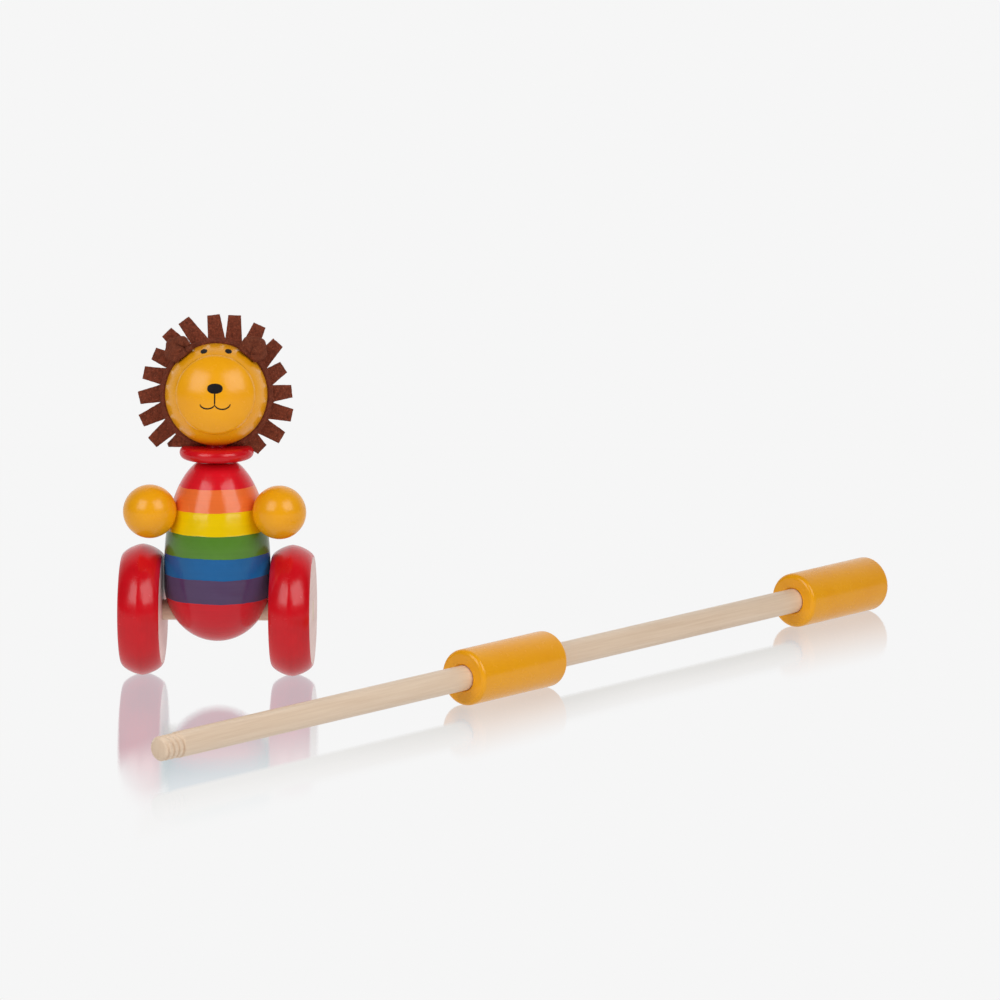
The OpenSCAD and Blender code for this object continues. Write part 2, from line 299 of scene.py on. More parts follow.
def bare_wood(name, pale, dark):
    """Clear-lacquered beech: streaks and short dark flecks along Z, rings on the end grain."""
    material, tree, shader = new_material(name, IOR=1.45, Coat_Weight=0.15, Coat_Roughness=0.25)
    streaks = grain(tree, lengthwise(900), detail=5, rough=0.65)
    broad = grain(tree, lengthwise(160), detail=3)
    flecks = grain(tree, lengthwise(3200), detail=2)
    ends = grain(tree, (380, 60, 60), detail=4)
    normal = add(tree, "TexCoord").outputs["Normal"]
    facing = add(tree, "SeparateXYZ", {"Vector": normal}).outputs["Z"]
    end_share = spread(tree, reckon(tree, "ABSOLUTE", facing), 0.75, 0.95)
    tone = reckon(tree, "MULTIPLY_ADD", streaks, 0.6, reckon(tree, "MULTIPLY", broad, 0.4))
    side = mix(tree, spread(tree, tone, 0.36, 0.66), pale, dark)
    side = mix(tree, spread(tree, flecks, 0.64, 0.74, 0.0, 0.35), side, dark)
    end = mix(tree, spread(tree, ends, 0.35, 0.65, 0.35, 1.0), pale, dark)
    tree.links.new(mix(tree, end_share, side, end), shader.inputs["Base Color"])
    tree.links.new(spread(tree, streaks, *most_noise, 0.38, 0.55), shader.inputs["Roughness"])
    bump(tree, shader, [(streaks, 0.04 * MM), (flecks, 0.03 * MM)])
    return material


def wheel_face_wood(name, pale, dark, paint):
    """Bare wheel face cut along the board: straight grain, with paint lapping over its rim."""
    material, tree, shader = new_material(name, IOR=1.45, Coat_Weight=0.1, Coat_Roughness=0.3)
    streaks = grain(tree, (700, 22, 700), detail=5, rough=0.65)
    broad = grain(tree, (130, 14, 130), detail=3)
    flecks = grain(tree, (2600, 160, 2600), detail=2)
    tone = reckon(tree, "MULTIPLY_ADD", streaks, 0.5, reckon(tree, "MULTIPLY", broad, 0.5))
    wood = mix(tree, spread(tree, tone, 0.36, 0.66), pale, dark)
    wood = mix(tree, spread(tree, flecks, 0.62, 0.74, 0.0, 0.4), wood, dark)
    point = add(tree, "SeparateXYZ", {"Vector": place(tree)})
    flat = add(tree, "CombineXYZ", {"X": point.outputs["X"], "Y": point.outputs["Y"]})
    length = add(tree, "VectorMath", {0: flat.outputs["Vector"]}, operation="LENGTH")
    reach = length.outputs["Value"]
    lap = reckon(tree, "MULTIPLY_ADD", grain(tree, 240, detail=3), 1.1 * MM, reach)
    painted = spread(tree, lap, wheel_face_r + 0.15 * MM, wheel_face_r + 0.3 * MM)
    tree.links.new(mix(tree, painted, wood, paint), shader.inputs["Base Color"])
    tree.links.new(spread(tree, painted, 0, 1, 0.5, 0.25), shader.inputs["Roughness"])
    bump(tree, shader, [(streaks, 0.05 * MM), (flecks, 0.03 * MM), (painted, 0.04 * MM)])
    return material


def wool_felt(name, base, light, dark):
    """Pressed wool: matted fibres with pale flecks, a soft sheen and a lumpy surface."""
    material, tree, shader = new_material(
        name, Roughness=0.95, Sheen_Weight=0.35, Sheen_Roughness=0.5, Sheen_Tint=light, IOR=1.3
    )
    lumps = grain(tree, 620, detail=4, rough=0.75)
    fibres = grain(tree, (2600, 2600, 700), detail=4, rough=0.75)
    across = grain(tree, (700, 2600, 2600), detail=4, rough=0.75)
    flecks = grain(tree, 1500, detail=2)
    tone = reckon(tree, "MULTIPLY_ADD", lumps, 0.6, reckon(tree, "MULTIPLY", fibres, 0.4))
    colour = mix(tree, spread(tree, tone, 0.4, 0.6), dark, base)
    colour = mix(tree, spread(tree, flecks, 0.6, 0.74, 0.0, 0.6), colour, light)
    tree.links.new(colour, shader.inputs["Base Color"])
    bump(tree, shader, [(lumps, 0.5 * MM), (fibres, 0.2 * MM), (across, 0.2 * MM)])
    return material


def ink(name, colour):
    """Thin printed ink, a little uneven and slightly glossy."""
    material, tree, shader = new_material(name, IOR=1.3)
    thin = spread(tree, grain(tree, 900, detail=3), 0.45, 0.75, 0.0, 0.5)
    tree.links.new(mix(tree, thin, colour, linear(40, 24, 18)), shader.inputs["Base Color"])
    patches = spread(tree, grain(tree, 1500), *most_noise, 0.4, 0.6)
    tree.links.new(patches, shader.inputs["Roughness"])
    return material


red = linear(212, 14, 28)
yellow = linear(245, 168, 15)
# Each band of the torso: the height where it starts, and its colour.
torso_bands = [
    (0, linear(214, 12, 32)),
    (39.3 * MM, linear(82, 58, 96)),
    (51.0 * MM, linear(0, 96, 158)),
    (61.3 * MM, linear(88, 136, 44)),
    (72.4 * MM, linear(244, 204, 0)),
    (83.4 * MM, linear(244, 116, 50)),
    (94.0 * MM, linear(226, 22, 36)),
]
paint_torso = torso_enamel(torso_bands)
paint_red = enamel("red_enamel", red, linear(196, 10, 24), (0.16, 0.28))
paint_yellow = enamel("yellow_enamel", yellow, linear(241, 162, 12), (0.21, 0.29))
wood_dowel = bare_wood("beech_dowel", linear(238, 214, 188), linear(224, 196, 168))
wood_face = wheel_face_wood(
    "wheel_face_beech", linear(242, 211, 205), linear(222, 187, 177), red
)
felt_brown = wool_felt(
    "brown_wool_felt", linear(134, 64, 43), linear(186, 110, 84), linear(92, 42, 27)
)
# The ears' felt is the mane's felt made a little darker: the darkening is painted shade for the ears' folds and
# cups.
shaded_ear_felt = wool_felt(
    "brown_ear_felt_painted_shade", linear(124, 62, 40), linear(170, 100, 74), linear(96, 44, 28)
)
black_ink = ink("black_ink", linear(7, 5, 8))

# ---------------------------------------- building pieces


def new_object(name, data):
    """An object in the scene, for a mesh, a light or a camera."""
    made = bpy.data.objects.new(name, data)
    bpy.context.scene.collection.objects.link(made)
    return made


def piece(name, mesh, matrix, body, nodes, materials):
    """Places a mesh, rides it on its body and stands it for its CAD nodes."""
    made = new_object(name, mesh)
    made.matrix_world = matrix
    for material in materials:
        mesh.materials.append(material)
    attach(made, body)
    if nodes:
        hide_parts(*nodes)
    return made


def arc(centre_r, centre_z, radius, start, end, steps):
    """Points of a round stretch in a half outline; 0 degrees points outward, 90 along +Z."""
    turns = [math.radians(start + (end - start) * i / steps) for i in range(steps + 1)]
    return [(centre_r + radius * math.cos(t), centre_z + radius * math.sin(t)) for t in turns]


def finished(build, name, sharp=None):
    """The mesh of a bmesh, with its faces outward; edges over sharp degrees stay hard."""
    mesh = bpy.data.meshes.new(name)
    bmesh.ops.recalc_face_normals(build, faces=build.faces)
    build.to_mesh(mesh)
    build.free()
    if sharp:
        mesh.set_sharp_from_angle(angle=math.radians(sharp))
    return mesh


def wrap(build, rings, smooth=True):
    """Joins neighbouring closed rings of vertices with faces."""
    for below, above in zip(rings, rings[1:]):
        for i in range(len(below)):
            j = (i + 1) % len(below)
            build.faces.new((below[i], below[j], above[j], above[i])).smooth = smooth


def turned(name, outline, around=128, sharp=35, ring_material=None):
    """A mesh turned on Z from a half outline of (radius, height) points, bottom to top."""
    on_axis = 1e-7
    build = bmesh.new()
    turns = [math.tau * i / around for i in range(around)]
    rings = []
    for radius, height in outline:
        if radius < on_axis:
            rings.append([build.verts.new((0, 0, height))])
            continue
        rings.append([
            build.verts.new((radius * math.cos(turn), radius * math.sin(turn), height))
            for turn in turns
        ])
    for index, (below, above) in enumerate(zip(rings, rings[1:])):
        for i in range(around):
            j = (i + 1) % around
            # A ring on the axis is one vertex, so its faces have three corners.
            corners = [
                below[i % len(below)], below[j % len(below)],
                above[j % len(above)], above[i % len(above)],
            ]
            kept = list(dict.fromkeys(corners))
            if len(kept) > 2:
                face = build.faces.new(kept)
                face.smooth = True
                face.material_index = ring_material(index) if ring_material else 0
    if outline[0] == outline[-1]:
        bmesh.ops.remove_doubles(build, verts=rings[0] + rings[-1], dist=1e-8)
    return finished(build, name, sharp)


def cut(piece_to_cut, cutter_mesh, matrix, material):
    """Bores piece_to_cut with a closed mesh; the new walls take the cutter's material."""
    cutter_mesh.materials.append(material)
    cutter = new_object("cutter", cutter_mesh)
    cutter.matrix_world = matrix
    modifier = piece_to_cut.modifiers.new("bore", "BOOLEAN")
    modifier.object = cutter
    modifier.operation = "DIFFERENCE"
    modifier.solver = "EXACT"
    modifier.material_mode = "TRANSFER"
    bpy.context.view_layer.update()
    result = bpy.data.meshes.new_from_object(
        piece_to_cut.evaluated_get(bpy.context.evaluated_depsgraph_get())
    )
    piece_to_cut.modifiers.remove(modifier)
    name = piece_to_cut.data.name
    piece_to_cut.data = result
    result.name = name
    bpy.data.objects.remove(cutter)


def rod_outline(radius, start, end, bevel):
    """Half outline of a plain dowel with bevelled ends."""
    return [
        (0, start), (radius - bevel, start), (radius, start + bevel),
        (radius, end - bevel), (radius - bevel, end), (0, end),
    ]


# ---------------------------------------- torso, collar, hands

# How much larger a hole's radius is than that of what goes through it
axle_play = 0.2 * MM
socket_rim_play = 0.45 * MM
collar_play = 0.1 * MM
# The round edge of the flat that the collar stands on
torso_lip = 0.5 * MM


def torso_radius(height):
    """Radius of the egg at a height above the floor."""
    up = height - torso_wide
    if up < 0:
        return torso_r * math.sqrt(max(0, 1 - (up / (torso_wide - torso_low)) ** 2))
    return torso_r * math.sqrt(1 - (up / torso_crown) ** torso_shoulder)


def make_torso():
    """The egg, with its axle hole and the screw socket in its back."""
    steps = 60
    turns = [math.pi / 2 * i / steps for i in range(steps)]
    heights = [torso_wide - (torso_wide - torso_low) * math.cos(turn) for turn in turns]
    heights += [torso_wide + (torso_top - torso_wide) * math.sin(turn) for turn in turns]
    outline = [(torso_radius(height), height) for height in heights]
    lip_r = torso_radius(torso_top) - torso_lip
    outline += arc(lip_r, torso_top - torso_lip, torso_lip, 35, 90, 5)
    outline.append((0, torso_top))
    torso = piece(
        "lion_torso", turned("lion_torso", outline, around=160), lion_frame,
        "lion", ["torso"], [paint_torso],
    )
    # The cutters reach well out of the egg.
    reach = 40 * MM
    axle_bore = turned("axle_bore", rod_outline(axle_r + axle_play, -reach, reach, 0))
    cut(torso, axle_bore, axle_frame, wood_dowel)
    socket = mount_of["stick_socket"]
    depth = socket["dims"]["length_mm"] * MM
    bore_r = socket["dims"]["r_mm"] * MM
    rim_r = stick_r + socket_rim_play
    outline = [
        (0, -depth / 2), (bore_r, -depth / 2), (bore_r, depth / 2), (rim_r, depth / 2),
        (rim_r, 3 * depth), (0, 3 * depth),
    ]
    matrix = aimed(Vector(socket["pos_m"]), Vector(socket["axis"]))
    cut(torso, turned("socket_bore", outline), matrix, wood_dowel)
    torso.data.set_sharp_from_angle(angle=math.radians(40))


def make_collar():
    """The red ring with a rounded rim."""
    rim = collar_half
    bore = neck_r + collar_play
    outline = [(bore, -rim), (collar_r - rim, -rim)]
    outline += arc(collar_r - rim, 0, rim, -90, 90, 24)[1:]
    outline += [(bore, rim), (bore, -rim)]
    matrix = Matrix.Translation(middle("collar"))
    mesh = turned("collar_ring", outline)
    piece("collar_ring", mesh, matrix, "lion", ["collar"], [paint_red])


def make_hand(side):
    """A hand ball, turned so that its poles point along its dowel."""
    name = "hand_" + side
    at = middle(name)
    outward = Vector((at.x - lion_axis.x, at.y - lion_axis.y, 0)).normalized()
    mesh = turned(name + "_ball", arc(0, 0, hand_r, -90, 90, 64), around=96)
    matrix = aimed(at, outward)
    piece(name + "_ball", mesh, matrix, "lion", [name], [paint_yellow])


# ---------------------------------------- head and face


def make_head():
    """The head ball, with the flat that the muzzle is glued to."""
    edge = math.degrees(math.acos(muzzle_r / head_r))
    mesh = turned("head_ball", arc(0, 0, head_r, -90, edge, 72) + [(0, muzzle_flat)])
    piece("head_ball", mesh, face_frame, "lion", ["head"], [paint_yellow])


# The seam between the head and the muzzle, and the gap at its bottom
seam = 0.25 * MM
seam_gap = 0.05 * MM
# Where the muzzle's dome runs into its shoulder, as an angle of the dome
dome_edge = math.asin((muzzle_r - muzzle_shoulder_r) / (muzzle_dome_r - muzzle_shoulder_r))
dome_centre = muzzle_flat - (muzzle_dome_r - muzzle_shoulder_r) * math.cos(dome_edge)


def make_muzzle():
    """The domed muzzle: a flat back, a round shoulder and a shallower dome."""
    dome_from = 90 - math.degrees(dome_edge)
    shoulder_at = muzzle_r - muzzle_shoulder_r
    outline = [(0, muzzle_flat + seam_gap), (muzzle_r - seam, muzzle_flat + seam_gap)]
    outline += arc(shoulder_at, muzzle_flat + seam, muzzle_shoulder_r, 0, dome_from, 20)
    outline += arc(0, dome_centre + seam, muzzle_dome_r, dome_from, 90, 40)[1:]
    mesh = turned("muzzle_dome", outline)
    piece("muzzle_dome", mesh, face_frame, "lion", ["muzzle"], [paint_yellow])


def face_depth(x, up):
    """How far forward of the head's centre the muzzle's surface is, or the ball's outside it."""
    reach = math.hypot(x, up)
    if reach >= muzzle_r:
        return math.sqrt(max(0, head_r**2 - reach**2))
    if reach > muzzle_dome_r * math.sin(dome_edge):
        shoulder = reach - (muzzle_r - muzzle_shoulder_r)
        return muzzle_flat + seam + math.sqrt(max(0, muzzle_shoulder_r**2 - shoulder**2))
    return dome_centre + seam + math.sqrt(muzzle_dome_r**2 - reach**2)


# How far the ink stands out of the face and reaches into it
ink_t = 0.06 * MM
ink_root = 0.1 * MM
line_wide = 0.66 * MM


def inked(name, rings):
    """A thin raised patch of ink on the face: rings of (x, up) points, from edge to middle."""
    build = bmesh.new()
    foot = [build.verts.new((x, -face_depth(x, up) + ink_root, up)) for x, up in rings[0]]
    rows = [foot]
    for ring in rings:
        rows.append([build.verts.new((x, -face_depth(x, up) - ink_t, up)) for x, up in ring])
    wrap(build, rows)
    build.faces.new(rows[-1])
    build.faces.new(list(reversed(foot)))
    mesh = finished(build, name, sharp=50)
    piece(name, mesh, head_frame, "lion", [], [black_ink])


def powered(value, power):
    """value raised to a power, with its sign kept."""
    return math.copysign(abs(value) ** power, value)


def oval(name, x, up, half_wide, half_tall, lean=0.0, squareness=2.0):
    """An oval of ink; lean turns it counterclockwise in degrees."""
    around = 48
    cos, sin = math.cos(math.radians(lean)), math.sin(math.radians(lean))
    rings = []
    for share in (1, 0.8, 0.6, 0.4, 0.2, 0.06):
        ring = []
        for i in range(around):
            turn = math.tau * i / around
            across = half_wide * share * powered(math.cos(turn), 2 / squareness)
            along = half_tall * share * powered(math.sin(turn), 2 / squareness)
            ring.append((x + across * cos - along * sin, up + across * sin + along * cos))
        rings.append(ring)
    inked(name, rings)


def stroke(name, path):
    """A raised line of ink along a path of (x, up) points, narrower towards both ends."""
    left, right = [], []
    for i, (x, up) in enumerate(path):
        before, after = path[max(0, i - 1)], path[min(len(path) - 1, i + 1)]
        run = Vector((after[0] - before[0], after[1] - before[1])).normalized()
        share = i / (len(path) - 1)
        half = line_wide / 2 * (0.55 + 0.45 * min(1, 6 * share, 6 * (1 - share)))
        left.append((x - run.y * half, up + run.x * half))
        right.append((x + run.y * half, up - run.x * half))
    build = bmesh.new()
    rows = []
    for one, other in zip(left, right):
        corners = ((one, ink_root), (one, -ink_t), (other, -ink_t), (other, ink_root))
        rows.append([
            build.verts.new((x, -face_depth(x, up) + shift, up)) for (x, up), shift in corners
        ])
    wrap(build, rows, smooth=False)
    build.faces.new(rows[0])
    build.faces.new(rows[-1])
    piece(name, finished(build, name), head_frame, "lion", [], [black_ink])


def make_face():
    """Eyes on the ball above the muzzle, nose and smile on the muzzle."""
    eye_up = 20.9 * MM
    for side, x, lean in (("left", -5.6 * MM, 14), ("right", 6.25 * MM, -14)):
        oval("eye_" + side, x, eye_up, half_wide=1.7 * MM, half_tall=1.1 * MM, lean=lean)
    nose_up = 2.9 * MM
    mouth_up = -5.0 * MM
    mouth_x = -0.2 * MM
    oval("nose", 0, nose_up, half_wide=3.75 * MM, half_tall=2.45 * MM, squareness=2.2)
    stem = [(mouth_x * i / 8, nose_up + (mouth_up - nose_up) * i / 8) for i in range(2, 9)]
    stroke("smile_stem", stem)
    # Each half of the smile is most of a half turn.
    steps, start, sweep = 24, 0.1 * math.pi, 0.85 * math.pi
    for side, half_wide, deep in (("left", -3.65 * MM, 2.6 * MM), ("right", 3.9 * MM, 3.0 * MM)):
        path = []
        for i in range(steps + 1):
            turn = start + sweep * i / steps
            across = half_wide * (math.cos(start) - math.cos(turn))
            path.append((mouth_x + across, mouth_up - deep * (math.sin(turn) - math.sin(start))))
        stroke("smile_" + side, path)


# ---------------------------------------- felt mane and ears

band_in_r = 24.9 * MM
band_out_r = 27.3 * MM
tab_tip_r = 38 * MM
mane_at = 3.9 * MM
# How much further forward the band lies at the ball than at the fold
band_dish = 3.2 * MM
# The angle from the top at which each end of the band stops, behind the neck
band_end = math.radians(178)
# The lowest that the band may reach below the head's centre
band_low = 25.4 * MM
# From and over these angles in radians the band widens, and then swings back behind the neck.
band_spill, spill_from, spill_over = 2.2 * MM, 2.6, 0.05
neck_swing, swing_from, swing_over = 5 * MM, 2.64, 0.46
# A tab's width at the fold and at the tip, and of the tip of the one that is folded to a point
tab_wide = 8.2 * MM
tab_tip_wide = 6.1 * MM
point_wide = 1.8 * MM
tab_twist = 0.35 * MM
# The size and height of the mane's smooth unevenness
swell_size, swell_height = 6 * MM, 0.35 * MM
# Each tab from the left end of the strip to its right end: how far its tip leans
# clockwise in degrees, how far the tip bends back and how much further out it reaches.
tab_leans = [
    6, -2, -2.4, -3.3, -1.8, -3.3, -2.9, -5.9, -2, -4.7, -3.5, -3.3, -3, -1.3, -1.3, -1, -1.8
]
tab_bends = [
    6.0, 0.6, -0.4, 0.8, 2.0, 3.4, -0.6, 2.4, 0.3, -0.5, 0.6, 0.2, 4.4, 3.0, -0.3, 0.6, 4.6
]
tab_grows = [-4.3, 0.8, 0.6, -0.6, -1.4, -2, 0.6, 1.2, 0.6, 1.4, 1.6, 1, -3.4, -1.8, 0, 0, -3.9]


def lump(point, size, amount):
    """A small smooth unevenness at a point."""
    return amount * noise.noise(Vector(point) / size)


def mane_point(index, across, out):
    """A point of tab number index; across is -1 to 1, out is 0 at the fold to 1 at the tip."""
    half_count = (len(tab_leans) - 1) / 2
    root = (index - half_count) * tab_pitch
    tip = root + math.radians(tab_leans[index])
    # The lowest tab on the left is folded, so it comes to a point.
    tip_wide = tab_tip_wide if index else point_wide
    half_wide = (tab_wide + (tip_wide - tab_wide) * out) / 2
    start = Vector((math.sin(root), math.cos(root))) * band_out_r
    end = Vector((math.sin(tip), math.cos(tip))) * (tab_tip_r + tab_grows[index] * MM)
    spine = start + (end - start) * out
    side = Vector((end.y - start.y, start.x - end.x)).normalized()
    flat = spine + side * half_wide * across
    back = mane_at + tab_bends[index] * MM * out**2
    # The factors of the index make each tab twist and swell in its own way.
    back += tab_twist * across * out * math.sin(index * 2.4)
    back += lump((flat.x, flat.y, index * 3.0), swell_size, swell_height)
    return Vector((flat.x, back, flat.y))


def band_point(turn, out):
    """A point of the band at an angle from the top; out is 0 at the ball to 1 at the fold."""
    # Past the last tabs the band narrows and passes behind the neck, between ball and collar,
    # where it follows the ball's curve and stops at a level.
    under = max(0.01, -math.cos(turn))
    behind = neck_swing * max(0, (abs(turn) - swing_from) / swing_over) ** 1.5
    back = mane_at + behind - band_dish * (1 - out) ** 1.3
    inner = band_in_r + 0.1 * MM
    if behind:
        inner = math.sqrt((head_r + 0.02 * MM) ** 2 - min(back, 9 * MM) ** 2) + 0.04 * back
    spill = band_spill * max(0, min(1, (abs(turn) - spill_from) / spill_over))
    outer = max(inner + 0.3 * MM, min(band_out_r + spill, band_low / under))
    radius = inner + (outer - inner) * out
    x, up = math.sin(turn) * radius, math.cos(turn) * radius
    return Vector((x, back + lump((x, up, turn), swell_size, swell_height), up))


def thicken(felt):
    """Gives a felt sheet its thickness and a finely uneven surface."""
    thick = felt.modifiers.new("thickness", "SOLIDIFY")
    thick.thickness = felt_t
    thick.offset = 0
    fine = felt.modifiers.new("fine", "SUBSURF")
    fine.subdivision_type = "SIMPLE"
    fine.levels = fine.render_levels = 1
    lumps = bpy.data.textures.new(felt.name + "_lumps", "CLOUDS")
    lumps.noise_scale = 1.6 * MM
    rough = felt.modifiers.new("lumps", "DISPLACE")
    rough.texture = lumps
    rough.texture_coords = "LOCAL"
    rough.strength = 0.35 * MM
    rough.mid_level = 0.5


def skin(build, rows):
    """Joins neighbouring rows of vertices with smooth faces."""
    for below, above in zip(rows, rows[1:]):
        for left, right, far_right, far_left in zip(below, below[1:], above[1:], above):
            build.faces.new((left, right, far_right, far_left)).smooth = True


def make_mane():
    """One strip of felt: a band that hugs the head, folded out into a fringe of tabs."""
    columns, tab_rows, band_rows, spare_columns = 10, 14, 5, 12
    shares = [2 * column / columns - 1 for column in range(columns + 1)]
    build = bmesh.new()
    tabs = []
    for index in range(len(tab_leans)):
        folds = [mane_point(index, across, 0) for across in shares]
        rows = []
        for row in range(band_rows):
            line = [band_point(math.atan2(fold.x, fold.z), row / band_rows) for fold in folds]
            rows.append([build.verts.new(point) for point in line])
        for row in range(tab_rows + 1):
            line = [mane_point(index, across, row / tab_rows) for across in shares]
            rows.append([build.verts.new(point) for point in line])
        skin(build, rows)
        tabs.append(rows)
    for before, after in zip(tabs, tabs[1:]):
        skin(build, [[before[row][-1], after[row][0]] for row in range(band_rows + 1)])
    # The band runs on past the lowest tabs, in behind the neck.
    for rows, column, sign in ((tabs[0], 0, -1), (tabs[-1], -1, 1)):
        start = math.atan2(rows[band_rows][column].co.x, rows[band_rows][column].co.z)
        spare = [[rows[row][column] for row in range(band_rows + 1)]]
        for step in range(1, spare_columns + 1):
            turn = start + (sign * band_end - start) * step / spare_columns
            line = [band_point(turn, row / band_rows) for row in range(band_rows + 1)]
            spare.append([build.verts.new(point) for point in line])
        skin(build, spare)
    mesh = finished(build, "felt_mane")
    mane = piece("felt_mane", mesh, head_frame, "lion", ["mane"], [felt_brown])
    thicken(mane)


ear_r = 6.3 * MM
# How far an ear's middle lies out to its side, forward and up from the head's centre
ear_out, ear_forward, ear_up = 17.9 * MM, 8.4 * MM, 21.7 * MM
# How far from the head's centre an ear's straight edge lies
ear_edge_r = 24.6 * MM
# How much an ear leans back as it goes out, how much lower it is than wide, and how far
# its soft corners stand out
ear_lean, ear_squash, ear_corner = 0.45, 0.95, 0.06
# Felt past the straight edge is drawn in by this share of its length, and back by this much.
tuck_in, tuck_back = 0.97, 2
# Where each ear is gathered, right of and above its middle; how deep; and, as angles in
# radians, how its folds and its rim's soft corners fall
ear_shapes = {
    "left": (2.8 * MM, 1.0 * MM, 3.0 * MM, 0.4, 0.6),
    "right": (-1.4 * MM, -2.2 * MM, 1.6 * MM, 2.2, 2.6),
}
# The radius of the gathered pit, where the folds start and fade round it, and their height
pit_r, fold_start, fold_fade, fold_height = 1.5 * MM, 2.2 * MM, 8 * MM, 1.1 * MM
# Past this share of its radius an ear's rim curls back, by this times the rest's square.
curl_from, curl = 0.6, 16 * MM


def ear_relief(side, p, q):
    """How far back the ear's felt lies at p to the right and q up from the ear's middle."""
    pit_p, pit_q, pit_depth, fold_phase, _ = ear_shapes[side]
    reach = math.hypot(p - pit_p, q - pit_q)
    turn = math.atan2(q - pit_q, p - pit_p)
    pit = pit_depth * math.exp(-((reach / pit_r) ** 2))
    folds = math.sin(5 * turn + fold_phase) + 0.5 * math.sin(3 * turn - fold_phase)
    rise = min(1, reach / fold_start) * math.exp(-reach / fold_fade)
    rim = max(0, math.hypot(p, q) / ear_r - curl_from)
    return pit + fold_height * folds * rise + curl * rim**2


def make_ear(side):
    """A felt disc gathered into a cup and folded straight where it lies over the ball's edge."""
    node = "ear_" + side
    sign = -1 if side == "left" else 1
    corner_phase = ear_shapes[side][-1]
    centre = Vector((sign * ear_out, -ear_forward, ear_up))
    outward = Vector((centre.x, centre.z)).normalized()
    # How far in from the ear's middle its straight edge lies
    fold_in = math.hypot(centre.x, centre.z) - ear_edge_r
    rows, around = 16, 60
    build = bmesh.new()
    rings = []
    for row in range(1, rows + 1):
        share = row / rows
        ring = []
        for i in range(around):
            turn = math.tau * i / around
            corner = 1 + ear_corner * share * math.cos(5 * turn + corner_phase)
            p = ear_r * share * corner * math.cos(turn)
            q = ear_squash * ear_r * share * corner * math.sin(turn)
            reach = p * outward.x + q * outward.y
            y = centre.y + ear_lean * reach + ear_relief(side, p, q)
            y += lump((p, q, sign), 3 * MM, 0.5 * MM)
            # Felt that would lie lower is tucked up behind the straight edge.
            tuck = max(0, -fold_in - reach)
            p, q = p + tuck * tuck_in * outward.x, q + tuck * tuck_in * outward.y
            ring.append(build.verts.new((centre.x + p, y + tuck * tuck_back, centre.z + q)))
        rings.append(ring)
    heart = build.verts.new((centre.x, centre.y + ear_relief(side, 0, 0), centre.z))
    for i in range(around):
        j = (i + 1) % around
        build.faces.new((heart, rings[0][i], rings[0][j])).smooth = True
        for inner, outer in zip(rings, rings[1:]):
            build.faces.new((inner[i], outer[i], outer[j], inner[j])).smooth = True
    # No part of the ear goes into the ball.
    clear = head_r + felt_t / 2 + 0.1 * MM
    for vertex in build.verts:
        if vertex.co.length < clear:
            vertex.co = vertex.co.normalized() * clear
    mesh = finished(build, "felt_" + node)
    ear = piece("felt_" + node, mesh, head_frame, "lion", [node], [shaded_ear_felt])
    thicken(ear)


# ---------------------------------------- wheels and axle

wheel_play = 0.12 * MM


def make_wheel(side):
    """A turned wheel: bare flat faces, and a painted round tread."""
    node = "wheel_" + side
    bore = axle_r + wheel_play
    round_steps = 40
    outline = [(bore, -wheel_half)]
    outline += [(wheel_face_r * share, -wheel_half) for share in (0.5, 0.8, 1)]
    faces = len(outline) - 1
    for i in range(1, round_steps):
        turn = math.radians(-90 + 180 * i / round_steps)
        out = powered(math.cos(turn), 2 / wheel_tread)
        across = powered(math.sin(turn), 2 / wheel_tread)
        outline.append((wheel_face_r + (wheel_r - wheel_face_r) * out, wheel_half * across))
    outline += [(wheel_face_r * share, wheel_half) for share in (1, 0.8, 0.5)]
    outline += [(bore, wheel_half), (bore, -wheel_half)]
    last = len(outline) - 2

    def on_face(index):
        return 1 if index < faces or index >= last - faces else 0

    name = "wood_" + node
    mesh = turned(name, outline, around=160, sharp=32, ring_material=on_face)
    matrix = Matrix.Translation((middle(node).x - axle_at.x, 0, 0)) @ axle_frame
    piece(name, mesh, matrix, "wheelset", [node], [paint_red, wood_face])


def make_axle():
    """The axle dowel, flush with the wheels' outer faces."""
    half = extent("axle").x / 2
    mesh = turned("axle_dowel", rod_outline(axle_r, -half, half, 0.4 * MM))
    piece("axle_dowel", mesh, axle_frame, "wheelset", ["axle"], [wood_dowel])


# ---------------------------------------- push stick

# The tip's end face and how steeply it widens from there
tip_face_r = thread_root_r - 0.4 * MM
tip_slope = 1.1
# A groove's half width, as a share of the pitch
groove_half = 0.17
# How far it takes the grooves to reach their depth, and to run out
run_in = 0.8 * MM
run_out = 0.6 * MM
# Half the gap between two pieces that meet end to end
meet_gap = 0.05 * MM


def thread_radius(height, turn):
    """Radius of the threaded tip at a height above its end face and an angle round it."""
    bevelled = tip_face_r + height * tip_slope
    if height > thread_len + 0.1 * MM:
        return stick_r
    phase = (height - thread_bevel) / thread_pitch - turn / math.tau
    groove = math.exp(-(((phase % 1 - 0.5) / groove_half) ** 2))
    started = min(1, max(0, height / run_in))
    ended = min(1, max(0, (thread_len - height) / run_out))
    cut_r = thread_crest_r - (thread_crest_r - thread_root_r) * groove * started
    cut_r = cut_r + (thread_crest_r - cut_r) * (1 - ended)
    return min(cut_r, bevelled)


def make_front_rod():
    """The front dowel with a coarse rounded thread cut round its tip."""
    around, step, past = 96, 0.2 * MM, 0.6 * MM
    count = round((thread_len + past) / step)
    heights = [i * step for i in range(count + 1)] + [rod_meet_at - meet_gap]
    build = bmesh.new()
    rings = []
    for height in heights:
        ring = []
        for i in range(around):
            turn = math.tau * i / around
            radius = thread_radius(height, turn)
            ring.append(build.verts.new((radius * math.cos(turn), radius * math.sin(turn), height)))
        rings.append(ring)
    wrap(build, rings)
    build.faces.new(list(reversed(rings[0])))
    build.faces.new(rings[-1])
    mesh = finished(build, "front_dowel", sharp=50)
    stands_for = ["front_rod"]
    piece("front_dowel", mesh, stick_frame, "push_stick", stands_for, [wood_dowel])


